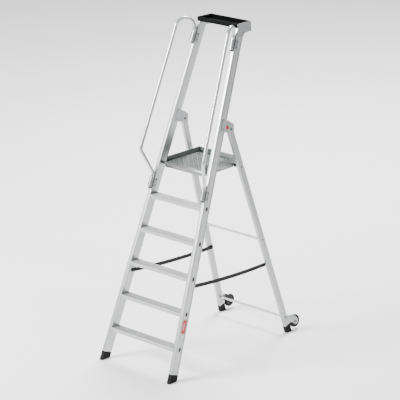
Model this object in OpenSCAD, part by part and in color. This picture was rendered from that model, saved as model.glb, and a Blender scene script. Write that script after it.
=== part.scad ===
// Mobile ladder stand: leaning front ladder, fold-up platform, folding rear
// frame with two wheels, two handrails and a tool tray. Millimetres, +Z up,
// X across the ladder, the user climbs from the -Y side.

/* [Treads] */

// vertical distance between two treads
tread_step = 240; // [220:5:260]
// depth of a tread from front to back
tread_d = 80; // [60:1:100]
// height of a tread's section
tread_h = 28; // [20:1:35]
// how far the nose of a tread stands in front of the stiles
tread_nose = 3; // [0:0.5:10]

/* [Stiles] */

// lean of the front ladder from the vertical, degrees
lean = 20.5; // [15:0.1:25]
// inward taper of each stile, degrees
taper = 3.48; // [0:0.01:6]
// distance from the centre plane to a stile's middle at the floor
stile_mid = 339; // [250:1:400]
// width of a stile's section
stile_w = 28; // [20:0.5:35]
// depth of a stile's section
stile_d = 75; // [50:1:100]
// wall of the stile, leg and tube sections
wall = 2; // [1.2:0.1:4]
// depth of the shallow channel in a stile's outer face
recess = 1.5; // [0.5:0.1:3]
// lower end of a stile, along the stile
stile_low = 71.5; // [50:0.5:90]
// upper end of a stile, along the stile
stile_high = 2598; // [2000:1:2800]

/* [Rear frame] */

// lean of the rear legs from the vertical, degrees
leg_lean = 18.4; // [10:0.1:25]
// inward taper of each rear leg, degrees
leg_taper = 3.53; // [0:0.01:6]
// hinge pin, distance behind the front face of the stiles
hinge_b = 139; // [110:1:170]
// hinge pin, distance along the stiles from the floor
hinge_a = 1882; // [1500:1:2100]
// width of a leg's section
leg_w = 25; // [18:0.5:32]
// depth of a leg's section
leg_d = 50; // [35:1:70]
// lower end of a leg, along the leg
leg_low = 64; // [50:1:90]
// radius of the cross tubes
tube_r = 9; // [6:0.5:15]
// height of the three cross tubes above the floor
tube_z = [132, 805, 1411]; // [50:1:1500]

/* [Platform] */

// height of the standing surface
deck_z = 1440; // [1200:10:1600]
// half of the platform's outside width
deck_x = 188.5; // [150:0.5:220]
// front face of the platform
deck_y0 = 548; // [520:1:600]
// back face of the platform
deck_y1 = 925; // [850:1:1000]
// height of the toe boards above the deck
toe_h = 35; // [20:1:80]
// height of the skirt and fascia below the deck
skirt_h = 40; // [30:1:60]
// platform pivot, distance behind the platform's front face
pivot_in = 12; // [10:0.5:20]
// platform pivot, distance below the deck
pivot_down = 14; // [10:0.5:20]

/* [Handrails] */

// radius of the rail tube
rail_r = 12.5; // [10:0.5:20]
// distance from the parallel run to the clamped ends
rail_reach = 153; // [100:1:200]
// direction in which the rail stands off, degrees from straight out
rail_turn = 65.7; // [40:0.1:90]
// rail centre line in front of the stile
rail_gap = 15.5; // [14:0.5:25]
// lower end of the rail, along the stile
rail_low = 1335; // [1200:1:1500]
// upper end of the rail, along the stile
rail_high = 2440; // [2200:1:2550]
// bend radius of the two lower bends
rail_bend = 60; // [40:1:90]

/* [Tray] */

// half of the tray's width
tray_x = 189.5; // [150:0.5:220]
// front face of the tray
tray_y0 = 904; // [880:1:940]
// depth of the tray from front to back
tray_d = 150; // [100:1:220]
// top edge of the tray
tray_z = 2463; // [2200:1:2600]
// height of the tray's walls
tray_h = 32; // [20:1:60]

/* [Wheels] */

// radius of a wheel
wheel_r = 50; // [35:1:80]
// width of a wheel
wheel_w = 25; // [15:1:35]
// axle, distance behind the leg's middle
axle_p = 95.5; // [80:0.5:120]
// axle, distance along the leg from the floor
axle_l = 40; // [20:0.5:80]
// radius of the hinge pins and axles
pin_r = 5; // [3:0.5:8]

/* [Hidden] */

$fn = 96;

// hinge pin in upright coordinates
hinge_y = hinge_b * cos(lean) + hinge_a * sin(lean);
hinge_z = hinge_a * cos(lean) - hinge_b * sin(lean);
// rear leg line, where its middle would meet the floor
leg_y0 = hinge_y + hinge_z * tan(leg_lean);
leg_mid = stile_mid - hinge_a * tan(taper) + hinge_z / cos(leg_lean) * tan(leg_taper);
hinge_l = hinge_z / cos(leg_lean) / cos(leg_taper);
// wheel axle in upright coordinates
axle_y = leg_y0 + axle_p * cos(leg_lean) - axle_l * sin(leg_lean);
axle_z = axle_p * sin(leg_lean) + axle_l * cos(leg_lean);
// front foot stands 1 mm proud of the stile all round
foot_skin = 1;
y_min = -foot_skin / cos(lean);
y_max = axle_y + wheel_r;
y_shift = -(y_min + y_max) / 2;
// platform pivot
pivot_y = deck_y0 + pivot_in;
pivot_z = deck_z - pivot_down;
// top cross tube, which carries the back of the platform
rest_z = tube_z[2];
rest_y = leg_y0 - rest_z * tan(leg_lean);
pin_gap = 0.05;
plate_t = 2.5;

aluminium = [0.80, 0.81, 0.82];
dark_plastic = [0.08, 0.08, 0.09];
steel = [0.55, 0.56, 0.58];
deck_grey = [0.62, 0.66, 0.64];

// ---------- frames ----------

module on_side(left) {
  mirror([left ? 1 : 0, 0, 0])
    children();
}

module both_sides() {
  on_side(false) children();
  on_side(true) children();
}

module upright() {
  translate([0, y_shift, 0])
    children();
}

// x outwards, y behind the front face, z along the right-hand stile
module stile_frame() {
  upright()
    rotate([-lean, 0, 0])
      translate([stile_mid, 0, 0])
        rotate([0, -taper, 0])
          children();
}

// x outwards, y behind the leg's middle, z along the right-hand leg
module leg_frame() {
  upright()
    translate([0, leg_y0, 0])
      rotate([leg_lean, 0, 0])
        translate([leg_mid, 0, 0])
          rotate([0, -leg_taper, 0])
            children();
}

// a shape drawn in the y-z plane, extruded along x
module slab(x0, t) {
  translate([x0, 0, 0])
    rotate([90, 0, 90])
      linear_extrude(height = t)
        children();
}

// a round bar along x
module bar_x(r, x0, x1) {
  translate([x0, 0, 0])
    rotate([0, 90, 0])
      cylinder(r = r, h = x1 - x0);
}

module at_hinge() {
  upright()
    translate([0, hinge_y, hinge_z])
      children();
}

module at_pivot() {
  upright()
    translate([0, pivot_y, pivot_z])
      children();
}

module at_tube(z) {
  upright()
    translate([0, leg_y0 - z * tan(leg_lean), z])
      children();
}

// everything on the outer side of a stile's inner face
module beyond_stile() {
  stile_frame()
    translate([-stile_w / 2, -300, -200])
      cube([400, 700, 3200]);
}

// everything on the outer side of a leg's inner face
module beyond_leg() {
  leg_frame()
    translate([-leg_w / 2, -300, -200])
      cube([400, 600, 2400]);
}

module below_floor() {
  translate([-600, -1500, -200])
    cube([1200, 3000, 200]);
}

// ---------- front ladder ----------

module stile() {
  len = stile_high - stile_low;
  difference() {
    stile_frame()
      difference() {
        translate([-stile_w / 2, 0, stile_low])
          cube([stile_w, stile_d, len]);
        translate([-stile_w / 2 + wall, wall, stile_low - 1])
          cube([stile_w - 2 * wall - recess, stile_d - 2 * wall, len + 2]);
        translate([stile_w / 2 - recess, 9, stile_low - 1])
          cube([recess + 1, stile_d - 18, len + 2]);
      }
    at_pivot()
      bar_x(4.1, 200, 240);
  }
}

module tread_profile() {
  difference() {
    square([tread_d, tread_h]);
    translate([wall, wall])
      square([tread_d - 2 * wall, tread_h - 2 * wall - 1.2]);
    for (k = [0 : 7])
      translate([9 + k * 8.5, tread_h - 1.2])
        square([3.5, 2]);
    translate([-1, tread_h / 2 - 1])
      square([1.8, 2]);
  }
}

module tread(i) {
  z = i * tread_step;
  color(aluminium)
    difference() {
      upright()
        translate([0, z * tan(lean) - tread_nose, z - tread_h])
          slab(-stile_mid, 2 * stile_mid)
            tread_profile();
      both_sides()
        beyond_stile();
    }
}

module tread_1() { tread(1); }
module tread_2() { tread(2); }
module tread_3() { tread(3); }
module tread_4() { tread(4); }
module tread_5() { tread(5); }

module stile_left() {
  color(aluminium)
    on_side(true)
      stile();
}

module stile_right() {
  color(aluminium)
    stile();
}

module tread_plugs() {
  pitch = tread_step / cos(lean) / cos(taper);
  color(dark_plastic)
    both_sides()
      stile_frame()
        for (i = [1 : 5])
          translate([stile_w / 2 - recess, 31, i * pitch - 15])
            cube([recess + 0.6, 20, 30]);
}

module foot_front() {
  inside_w = stile_w - 2 * wall - recess;
  color(dark_plastic)
    difference() {
      stile_frame()
        union() {
          translate([-stile_w / 2 - foot_skin, -foot_skin, -60])
            cube([stile_w + 2 * foot_skin, stile_d + 2 * foot_skin, 60 + stile_low]);
          translate([-stile_w / 2 + wall + 0.3, wall + 0.3, stile_low - 1])
            cube([inside_w - 0.6, stile_d - 2 * wall - 0.6, 31]);
        }
      stile_frame()
        for (k = [0 : 2])
          translate([stile_w / 2 - 0.5, -5, 22 + k * 14])
            cube([5, stile_d + 10, 3]);
      below_floor();
    }
}

module foot_front_left() { on_side(true) foot_front(); }
module foot_front_right() { foot_front(); }

// ---------- hinge between the ladder and the rear frame ----------

module hinge_plate(x0) {
  color(aluminium)
    difference() {
      stile_frame()
        slab(x0, plate_t)
          polygon([[26, 1944], [100, 1940], [160, 1926], [181, 1863], [33, 1848]]);
      at_hinge()
        bar_x(pin_r + 0.02, 150, 300);
    }
}

module hinge_plate_left_inner() { on_side(true) hinge_plate(-stile_w / 2 - plate_t); }
module hinge_plate_left_outer() { on_side(true) hinge_plate(stile_w / 2); }
module hinge_plate_right_inner() { hinge_plate(-stile_w / 2 - plate_t); }
module hinge_plate_right_outer() { hinge_plate(stile_w / 2); }

module hinge_pin() {
  mid = stile_mid - hinge_a * tan(taper);
  reach = stile_w / 2 + plate_t + 0.4;
  color(steel)
    at_hinge()
      union() {
        bar_x(pin_r, mid - reach - 4, mid + reach + 4);
        bar_x(8, mid - reach - 4, mid - reach);
        bar_x(8, mid + reach, mid + reach + 4);
      }
}

module hinge_pin_left() { on_side(true) hinge_pin(); }
module hinge_pin_right() { hinge_pin(); }

module hinge_caps() {
  color([0.75, 0.10, 0.14])
    both_sides()
      stile_frame()
        translate([0, 93, 1891])
          bar_x(14, stile_w / 2 + plate_t, stile_w / 2 + plate_t + 4);
}

module rivet_pair(y, z, r, inner_x, outer_x, h) {
  translate([0, y, z]) {
    bar_x(r, outer_x, outer_x + h);
    bar_x(r, inner_x - h, inner_x);
  }
}

module hinge_rivets() {
  x = stile_w / 2 + plate_t;
  color(steel)
    both_sides()
      stile_frame() {
        rivet_pair(38, 1936, 4, -x, x, 2.5);
        rivet_pair(52, 1871, 4, -x, x, 2.5);
      }
}

// ---------- handrails ----------

rail_turn_up = atan2(rail_reach, 143);
rail_corner = 1441;
rail_tangent = rail_bend * tan(rail_turn_up / 2);
rail_top = 2521;

module rail_frame() {
  stile_frame()
    translate([0, -rail_gap, 0])
      rotate([0, 0, -rail_turn])
        children();
}

module rail_arc(x, z, radius, r, from, sweep) {
  translate([x, 0, z])
    rotate([90, 0, 0])
      rotate([0, 0, from])
        rotate_extrude(angle = sweep)
          translate([radius, 0])
            circle(r = r);
}

// the whole rail as a bar of radius r, its two ends longer by "more"; each
// straight length runs 1 mm into its bends, which are 0.05 mm slimmer
module rail_bar(r, more) {
  z1 = rail_corner - rail_tangent;
  z2 = rail_corner + 143 + rail_tangent;
  diagonal = rail_reach / sin(rail_turn_up) - 2 * rail_tangent;
  rb = r - 0.05;
  translate([0, 0, rail_low - more])
    cylinder(r = r, h = z1 - rail_low + more + 1);
  rail_arc(rail_bend, z1, rail_bend, rb, 180 - rail_turn_up, rail_turn_up);
  translate([rail_tangent * sin(rail_turn_up), 0, rail_corner + rail_tangent * cos(rail_turn_up)])
    rotate([0, rail_turn_up, 0])
      translate([0, 0, -1])
        cylinder(r = r, h = diagonal + 2);
  rail_arc(rail_reach - rail_bend, z2, rail_bend, rb, -rail_turn_up, rail_turn_up);
  translate([rail_reach, 0, z2 - 1])
    cylinder(r = r, h = rail_top - z2 + 2);
  rail_arc(rail_reach / 2, rail_top, rail_reach / 2, rb, 0, 180);
  translate([0, 0, rail_high - more])
    cylinder(r = r, h = rail_top - rail_high + more + 1);
}

module handrail() {
  $fn = 36;
  color(aluminium)
    rail_frame()
      difference() {
        rail_bar(rail_r, 0);
        rail_bar(rail_r - wall, 2);
      }
}

module handrail_left() { on_side(true) handrail(); }
module handrail_right() { handrail(); }

clamp_z = [1340, 2447];
clamp_len = 70;

module rail_sleeves() {
  color(aluminium)
    both_sides()
      rail_frame()
        for (z = clamp_z)
          translate([0, 0, z])
            difference() {
              cylinder(r = rail_r + 1.5, h = clamp_len);
              translate([0, 0, -1])
                cylinder(r = rail_r + 0.3, h = clamp_len + 2);
            }
}

// two half shells that hug the rail's sleeve and are bolted through the stile
module rail_clamp() {
  ri = stile_w / 2 + 0.3;
  color([0.35, 0.36, 0.38])
    stile_frame()
      for (z = clamp_z)
        translate([0, -rail_gap, z])
          union() {
            difference() {
              cylinder(r = ri + 2.5, h = clamp_len);
              translate([0, 0, -1])
                cylinder(r = ri, h = clamp_len + 2);
              translate([-50, 0, -1])
                cube([100, 50, clamp_len + 2]);
              translate([-11, -50, -1])
                cube([22, 50, clamp_len + 2]);
            }
            for (x = [-ri - 2.5, ri])
              translate([x, 0, 0])
                cube([2.5, rail_gap + 32, clamp_len]);
          }
}

module rail_clamps_left() { on_side(true) rail_clamp(); }
module rail_clamps_right() { rail_clamp(); }

module clamp_bolts() {
  x = stile_w / 2 + 2.8;
  color(steel)
    both_sides()
      stile_frame()
        for (z = clamp_z)
          for (k = [18, 60])
            rivet_pair(18, z + k, 5, -x, x, 3.5);
}

module rail_end_caps() {
  color(dark_plastic)
    both_sides()
      rail_frame()
        for (z = [rail_low, rail_high]) {
          translate([0, 0, z - 8])
            cylinder(r = rail_r, h = 8);
          translate([0, 0, z - 1])
            cylinder(r = rail_r - wall - 0.2, h = 13);
        }
}

// ---------- tool tray ----------

module tray() {
  z0 = tray_z - tray_h;
  color(dark_plastic)
    upright()
      difference() {
        translate([-tray_x, tray_y0, z0])
          cube([2 * tray_x, tray_d, tray_h]);
        translate([-tray_x + 10, tray_y0 + 10, z0 + 4])
          cube([2 * tray_x - 20, tray_d - 20, tray_h]);
        translate([-tray_x + 4, tray_y0 + 4, tray_z - 7])
          cube([2 * tray_x - 8, tray_d - 8, 8]);
      }
}

module tray_bracket() {
  color(aluminium)
    stile_frame()
      slab(stile_w / 2, plate_t)
        polygon([
          [-14, 2628], [127, 2681], [157, 2611], [88, 2588],
          [73, 2550], [5, 2545], [0, 2604]
        ]);
}

module tray_bracket_left() { on_side(true) tray_bracket(); }
module tray_bracket_right() { tray_bracket(); }

module tray_rivets() {
  x = stile_w / 2;
  color(steel)
    both_sides()
      stile_frame() {
        rivet_pair(64, 2584, 3.5, -x, x + plate_t, 2);
        rivet_pair(39, 2556, 3.5, -x, x + plate_t, 2);
      }
}

// ---------- platform mounting, straps and label ----------

module platform_spacers() {
  color(dark_plastic)
    difference() {
      at_pivot()
        both_sides()
          difference() {
            bar_x(11, deck_x + 0.5, deck_x + 60);
            bar_x(4.02, deck_x, deck_x + 61);
          }
      both_sides()
        beyond_stile();
    }
}

module platform_pivot_bolts() {
  color(steel)
    at_pivot()
      both_sides()
        union() {
          bar_x(4, deck_x - 8, deck_x + 52);
          bar_x(7, deck_x - 8, deck_x - 3);
        }
}

strap_x = 278;
strap_t = 1.5;
// ends of a strap, behind the front face and along the stile, then on the leg
strap_y1 = 45 * cos(lean) + 706 * sin(lean);
strap_z1 = 706 * cos(lean) - 45 * sin(lean);
strap_y2 = leg_y0 + 4 * cos(leg_lean) - 625 * sin(leg_lean);
strap_z2 = 4 * sin(leg_lean) + 625 * cos(leg_lean);
strap_sag = 15;
strap_chord = sqrt(pow(strap_y2 - strap_y1, 2) + pow(strap_z2 - strap_z1, 2));
strap_fall = atan2(strap_z2 - strap_z1, strap_y2 - strap_y1);
strap_big = strap_chord * strap_chord / (8 * strap_sag) + strap_sag / 2;
strap_half = asin(strap_chord / 2 / strap_big);

module strap() {
  up = strap_big - strap_sag;
  color([0.20, 0.20, 0.21])
    upright()
      translate([
        strap_x,
        (strap_y1 + strap_y2) / 2 - up * sin(strap_fall),
        (strap_z1 + strap_z2) / 2 + up * cos(strap_fall)
      ])
        rotate([90, 0, 90])
          rotate([0, 0, -90 + strap_fall - strap_half - 0.1])
            rotate_extrude(angle = 2 * strap_half + 0.2)
              translate([strap_big - 15, 0])
                square([30, strap_t]);
}

module strap_left() { on_side(true) strap(); }
module strap_right() { strap(); }

// spacer, washer and bolt head round one end of a strap
module strap_anchor() {
  bar_x(15, strap_x + strap_t + 0.2, strap_x + 16);
  bar_x(15, strap_x - 2.7, strap_x - 0.2);
  bar_x(5, strap_x - 6.7, strap_x - 2.7);
}

module strap_anchors_front() {
  color(dark_plastic)
    both_sides()
      difference() {
        upright()
          translate([0, strap_y1, strap_z1])
            strap_anchor();
        beyond_stile();
      }
}

module strap_anchors_rear() {
  color(dark_plastic)
    both_sides()
      difference() {
        upright()
          translate([0, strap_y2, strap_z2])
            strap_anchor();
        beyond_leg();
      }
}

module label() {
  color([0.72, 0.10, 0.13])
    stile_frame()
      translate([stile_w / 2 - recess, 16, 369])
        cube([0.5, 46, 108]);
}

// ---------- rear frame ----------

module leg() {
  top = hinge_l + 32;
  color(aluminium)
    difference() {
      leg_frame()
        difference() {
          translate([-leg_w / 2, -leg_d / 2, leg_low])
            cube([leg_w, leg_d, top - leg_low]);
          translate([-leg_w / 2 + wall, -leg_d / 2 + wall, leg_low - 1])
            cube([leg_w - 2 * wall, leg_d - 2 * wall, top - leg_low + 2]);
        }
      at_hinge()
        bar_x(pin_r + pin_gap, 150, 300);
    }
}

module leg_left() { on_side(true) leg(); }
module leg_right() { leg(); }

module cross_tube(z) {
  color(aluminium)
    difference() {
      at_tube(z)
        difference() {
          bar_x(tube_r, -leg_mid, leg_mid);
          bar_x(tube_r - wall, -leg_mid - 1, leg_mid + 1);
        }
      both_sides()
        beyond_leg();
    }
}

module cross_tube_top() { cross_tube(tube_z[2]); }
module cross_tube_middle() { cross_tube(tube_z[1]); }
module cross_tube_low() { cross_tube(tube_z[0]); }

module tube_bolts() {
  color(steel)
    both_sides()
      leg_frame()
        for (z = tube_z)
          translate([0, 0, z / cos(leg_lean) / cos(leg_taper)])
            bar_x(5.5, leg_w / 2, leg_w / 2 + 3);
}

// plastic collars that keep the platform centred on the top tube
module tube_collars() {
  color(dark_plastic)
    at_tube(rest_z)
      both_sides()
        difference() {
          bar_x(tube_r + 3, deck_x + 2, deck_x + 16);
          bar_x(tube_r, deck_x, deck_x + 17);
        }
}

module foot_rear() {
  w = leg_w + 3;
  d = leg_d + 4;
  color(dark_plastic)
    difference() {
      leg_frame()
        union() {
          translate([-w / 2, -d / 2, -40])
            cube([w, d, 40 + leg_low]);
          translate([-leg_w / 2 + wall + 0.3, -leg_d / 2 + wall + 0.3, leg_low - 1])
            cube([leg_w - 2 * wall - 0.6, leg_d - 2 * wall - 0.6, 31]);
        }
      leg_frame()
        for (k = [0 : 4])
          translate([w / 2 - 1.5, -23 + k * 10, -50])
            cube([5, 4, 50 + leg_low - 10]);
      below_floor();
    }
}

module foot_rear_left() { on_side(true) foot_rear(); }
module foot_rear_right() { foot_rear(); }

module wheel_bracket() {
  color(aluminium)
    leg_frame()
      difference() {
        union() {
          slab(leg_w / 2, plate_t)
            polygon([
              [-25, 68], [-25, 122], [25, 140], [96, 98],
              [118, 52], [108, 22], [82, 22], [50, 60], [30, 68]
            ]);
          translate([0, axle_p, axle_l])
            bar_x(24, leg_w / 2, leg_w / 2 + plate_t);
        }
        translate([0, axle_p, axle_l])
          bar_x(pin_r + 0.02, leg_w / 2 - 1, leg_w / 2 + plate_t + 1);
      }
}

module wheel_bracket_left() { on_side(true) wheel_bracket(); }
module wheel_bracket_right() { wheel_bracket(); }

module axle() {
  outer = leg_w / 2 + plate_t;
  inner = outer - plate_t - 2 - wheel_w - 2;
  color(steel)
    leg_frame()
      translate([0, axle_p, axle_l])
        union() {
          bar_x(pin_r, inner - 6, outer + 5);
          bar_x(9, outer, outer + 5);
          bar_x(9, inner - 6, inner);
        }
}

module axle_left() { on_side(true) axle(); }
module axle_right() { axle(); }

module tyre() {
  x0 = leg_w / 2 - 2 - wheel_w;
  color(dark_plastic)
    leg_frame()
      translate([x0, axle_p, axle_l])
        rotate([0, 90, 0])
          rotate_extrude()
            polygon([
              [34, 0], [wheel_r - 4, 0], [wheel_r, 5],
              [wheel_r, wheel_w - 5], [wheel_r - 4, wheel_w], [34, wheel_w]
            ]);
}

module hub() {
  x0 = leg_w / 2 - 2 - wheel_w;
  color([0.16, 0.16, 0.17])
    leg_frame()
      translate([x0, axle_p, axle_l])
        rotate([0, 90, 0])
          rotate_extrude()
            polygon([
              [pin_r + pin_gap, 0], [13, 0], [13, 7], [27, 7], [27, 2],
              [33.8, 2], [33.8, wheel_w - 2], [27, wheel_w - 2],
              [27, wheel_w - 7], [13, wheel_w - 7], [13, wheel_w],
              [pin_r + pin_gap, wheel_w]
            ]);
}

module tyre_left() { on_side(true) tyre(); }
module hub_left() { on_side(true) hub(); }
module tyre_right() { tyre(); }
module hub_right() { hub(); }

// ---------- platform ----------

side_t = 2.5;
beam_d = 25;

module deck() {
  color(deck_grey)
    upright()
      translate([-deck_x + side_t, deck_y0 + beam_d, deck_z - 3])
        cube([2 * (deck_x - side_t), deck_y1 - deck_y0 - beam_d - side_t, 3]);
}

module fascia() {
  color(aluminium)
    upright()
      slab(-deck_x + side_t, 2 * (deck_x - side_t))
        translate([deck_y0, deck_z - skirt_h])
          difference() {
            square([beam_d, skirt_h]);
            translate([wall, wall])
              square([beam_d - 2 * wall, skirt_h - 2 * wall]);
          }
}

// clear way for the top cross tube as the platform lifts off it
module tube_way() {
  clear = tube_r + 1.5;
  bar_x(clear, -deck_x - 5, deck_x + 5);
  translate([-deck_x - 5, -clear, -80])
    cube([2 * deck_x + 10, 2 * clear, 80]);
  rotate([-25.7, 0, 0])
    translate([-deck_x - 5, -clear, -80])
      cube([2 * deck_x + 10, 2 * clear, 80]);
}

module toe_board() {
  color(deck_grey)
    difference() {
      upright()
        slab(deck_x - side_t, side_t)
          polygon([
            [deck_y0, deck_z - skirt_h], [deck_y1, deck_z - skirt_h],
            [deck_y1, deck_z + toe_h], [deck_y0 + 20, deck_z + toe_h],
            [deck_y0, deck_z]
          ]);
      at_tube(rest_z)
        tube_way();
      at_pivot()
        bar_x(4 + pin_gap, deck_x - 10, deck_x + 10);
    }
}

module toe_board_left() { on_side(true) toe_board(); }
module toe_board_right() { toe_board(); }

module toe_board_rear() {
  color(deck_grey)
    upright()
      translate([-deck_x + side_t, deck_y1 - side_t, deck_z - 25])
        cube([2 * (deck_x - side_t), side_t, 25 + toe_h]);
}

// blocks under the deck that rest on the top cross tube
module saddles() {
  color(dark_plastic)
    both_sides()
      difference() {
        upright()
          translate([deck_x - side_t - 16, rest_y - 20, rest_z + 0.6 * tube_r])
            cube([16, 40, deck_z - 3 - rest_z - 0.6 * tube_r]);
        at_tube(rest_z)
          bar_x(tube_r + 0.3, 100, 250);
      }
}

// ---------- choice of node ----------

stile_left();
stile_right();
tread_1();
tread_2();
tread_3();
tread_4();
tread_5();
tread_plugs();
foot_front_left();
foot_front_right();
hinge_plate_left_inner();
hinge_plate_left_outer();
hinge_plate_right_inner();
hinge_plate_right_outer();
hinge_pin_left();
hinge_pin_right();
hinge_caps();
hinge_rivets();
handrail_left();
handrail_right();
rail_sleeves();
rail_clamps_left();
rail_clamps_right();
clamp_bolts();
rail_end_caps();
tray();
tray_bracket_left();
tray_bracket_right();
tray_rivets();
platform_spacers();
platform_pivot_bolts();
strap_anchors_front();
label();
strap_left();
strap_right();
leg_left();
leg_right();
cross_tube_top();
cross_tube_middle();
cross_tube_low();
tube_bolts();
tube_collars();
foot_rear_left();
foot_rear_right();
wheel_bracket_left();
wheel_bracket_right();
axle_left();
axle_right();
strap_anchors_rear();
tyre_left();
hub_left();
tyre_right();
hub_right();
deck();
fascia();
toe_board_left();
toe_board_right();
toe_board_rear();
saddles();
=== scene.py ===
import math

import bmesh
import bpy
from mathutils import Matrix, Vector


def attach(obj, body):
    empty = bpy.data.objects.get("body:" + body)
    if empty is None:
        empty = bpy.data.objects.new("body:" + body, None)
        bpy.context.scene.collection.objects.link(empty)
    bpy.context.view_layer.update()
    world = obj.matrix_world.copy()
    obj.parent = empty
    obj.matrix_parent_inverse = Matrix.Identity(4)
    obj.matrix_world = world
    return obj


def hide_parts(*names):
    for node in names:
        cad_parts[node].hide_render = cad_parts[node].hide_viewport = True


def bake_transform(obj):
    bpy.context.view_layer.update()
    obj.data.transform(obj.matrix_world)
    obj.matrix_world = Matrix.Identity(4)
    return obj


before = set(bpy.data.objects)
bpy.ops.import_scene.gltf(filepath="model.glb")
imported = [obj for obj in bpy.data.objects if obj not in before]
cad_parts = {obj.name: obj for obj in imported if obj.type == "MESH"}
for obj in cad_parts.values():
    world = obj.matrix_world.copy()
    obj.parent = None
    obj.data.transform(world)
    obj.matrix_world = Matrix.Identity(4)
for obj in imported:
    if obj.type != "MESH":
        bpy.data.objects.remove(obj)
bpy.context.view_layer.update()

# ---------- camera and light ----------

CAMERA_AIM = Vector((0, -0.0226, 1.1424))
CAMERA_AZIMUTH = math.radians(41.901)
CAMERA_ELEVATION = math.radians(17.899)
CAMERA_DISTANCE = 14.099

camera = bpy.data.objects.new("camera", bpy.data.cameras.new("camera"))
bpy.context.collection.objects.link(camera)
camera.location = CAMERA_AIM + CAMERA_DISTANCE * Vector((
    math.sin(CAMERA_AZIMUTH) * math.cos(CAMERA_ELEVATION),
    -math.cos(CAMERA_AZIMUTH) * math.cos(CAMERA_ELEVATION),
    math.sin(CAMERA_ELEVATION)))
camera.rotation_euler = (CAMERA_AIM - camera.location).to_track_quat("-Z", "Y").to_euler()
camera.data.sensor_width = 36
camera.data.lens = 172.2
camera.data.clip_end = 200
bpy.context.scene.camera = camera


def area_light(name, place, aim, size, power):
    lamp = bpy.data.lights.new(name, "AREA")
    lamp.shape = "DISK"
    lamp.size = size
    lamp.energy = power
    ob = bpy.data.objects.new(name, lamp)
    bpy.context.collection.objects.link(ob)
    ob.location = place
    ob.rotation_euler = (Vector(aim) - Vector(place)).to_track_quat("-Z", "Y").to_euler()


area_light("key", (-3.2, -6.0, 5.2), (0, 0, 1.2), 3.2, 1700)
area_light("fill", (6.0, -1.5, 3.2), (0, 0, 1.2), 3.5, 60)
# lights the floor that the camera sees behind the ladder
area_light("back", (-1.8, 4.6, 8.0), (-3.0, 4.2, 0), 4.0, 2000)

# a studio that is dimmer towards the horizon than overhead
world = bpy.data.worlds.new("studio")
bpy.context.scene.world = world
world.use_nodes = True
sky = world.node_tree
backdrop = sky.nodes["Background"]
backdrop.inputs["Color"].default_value = (0.95, 0.965, 0.98, 1)
sky_coord = sky.nodes.new("ShaderNodeTexCoord")
sky_split = sky.nodes.new("ShaderNodeSeparateXYZ")
sky_level = sky.nodes.new("ShaderNodeMapRange")
sky.links.new(sky_coord.outputs["Generated"], sky_split.inputs["Vector"])
sky.links.new(sky_split.outputs["Z"], sky_level.inputs["Value"])
for key, value in (("From Min", 0.10), ("From Max", 0.80), ("To Min", 0.22), ("To Max", 1.25)):
    sky_level.inputs[key].default_value = value
sky.links.new(sky_level.outputs["Result"], backdrop.inputs["Strength"])

# ---------- materials ----------


def shade(tone, k):
    """The colour tone made k times as bright."""
    return [min(1, c * k) for c in tone]


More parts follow.
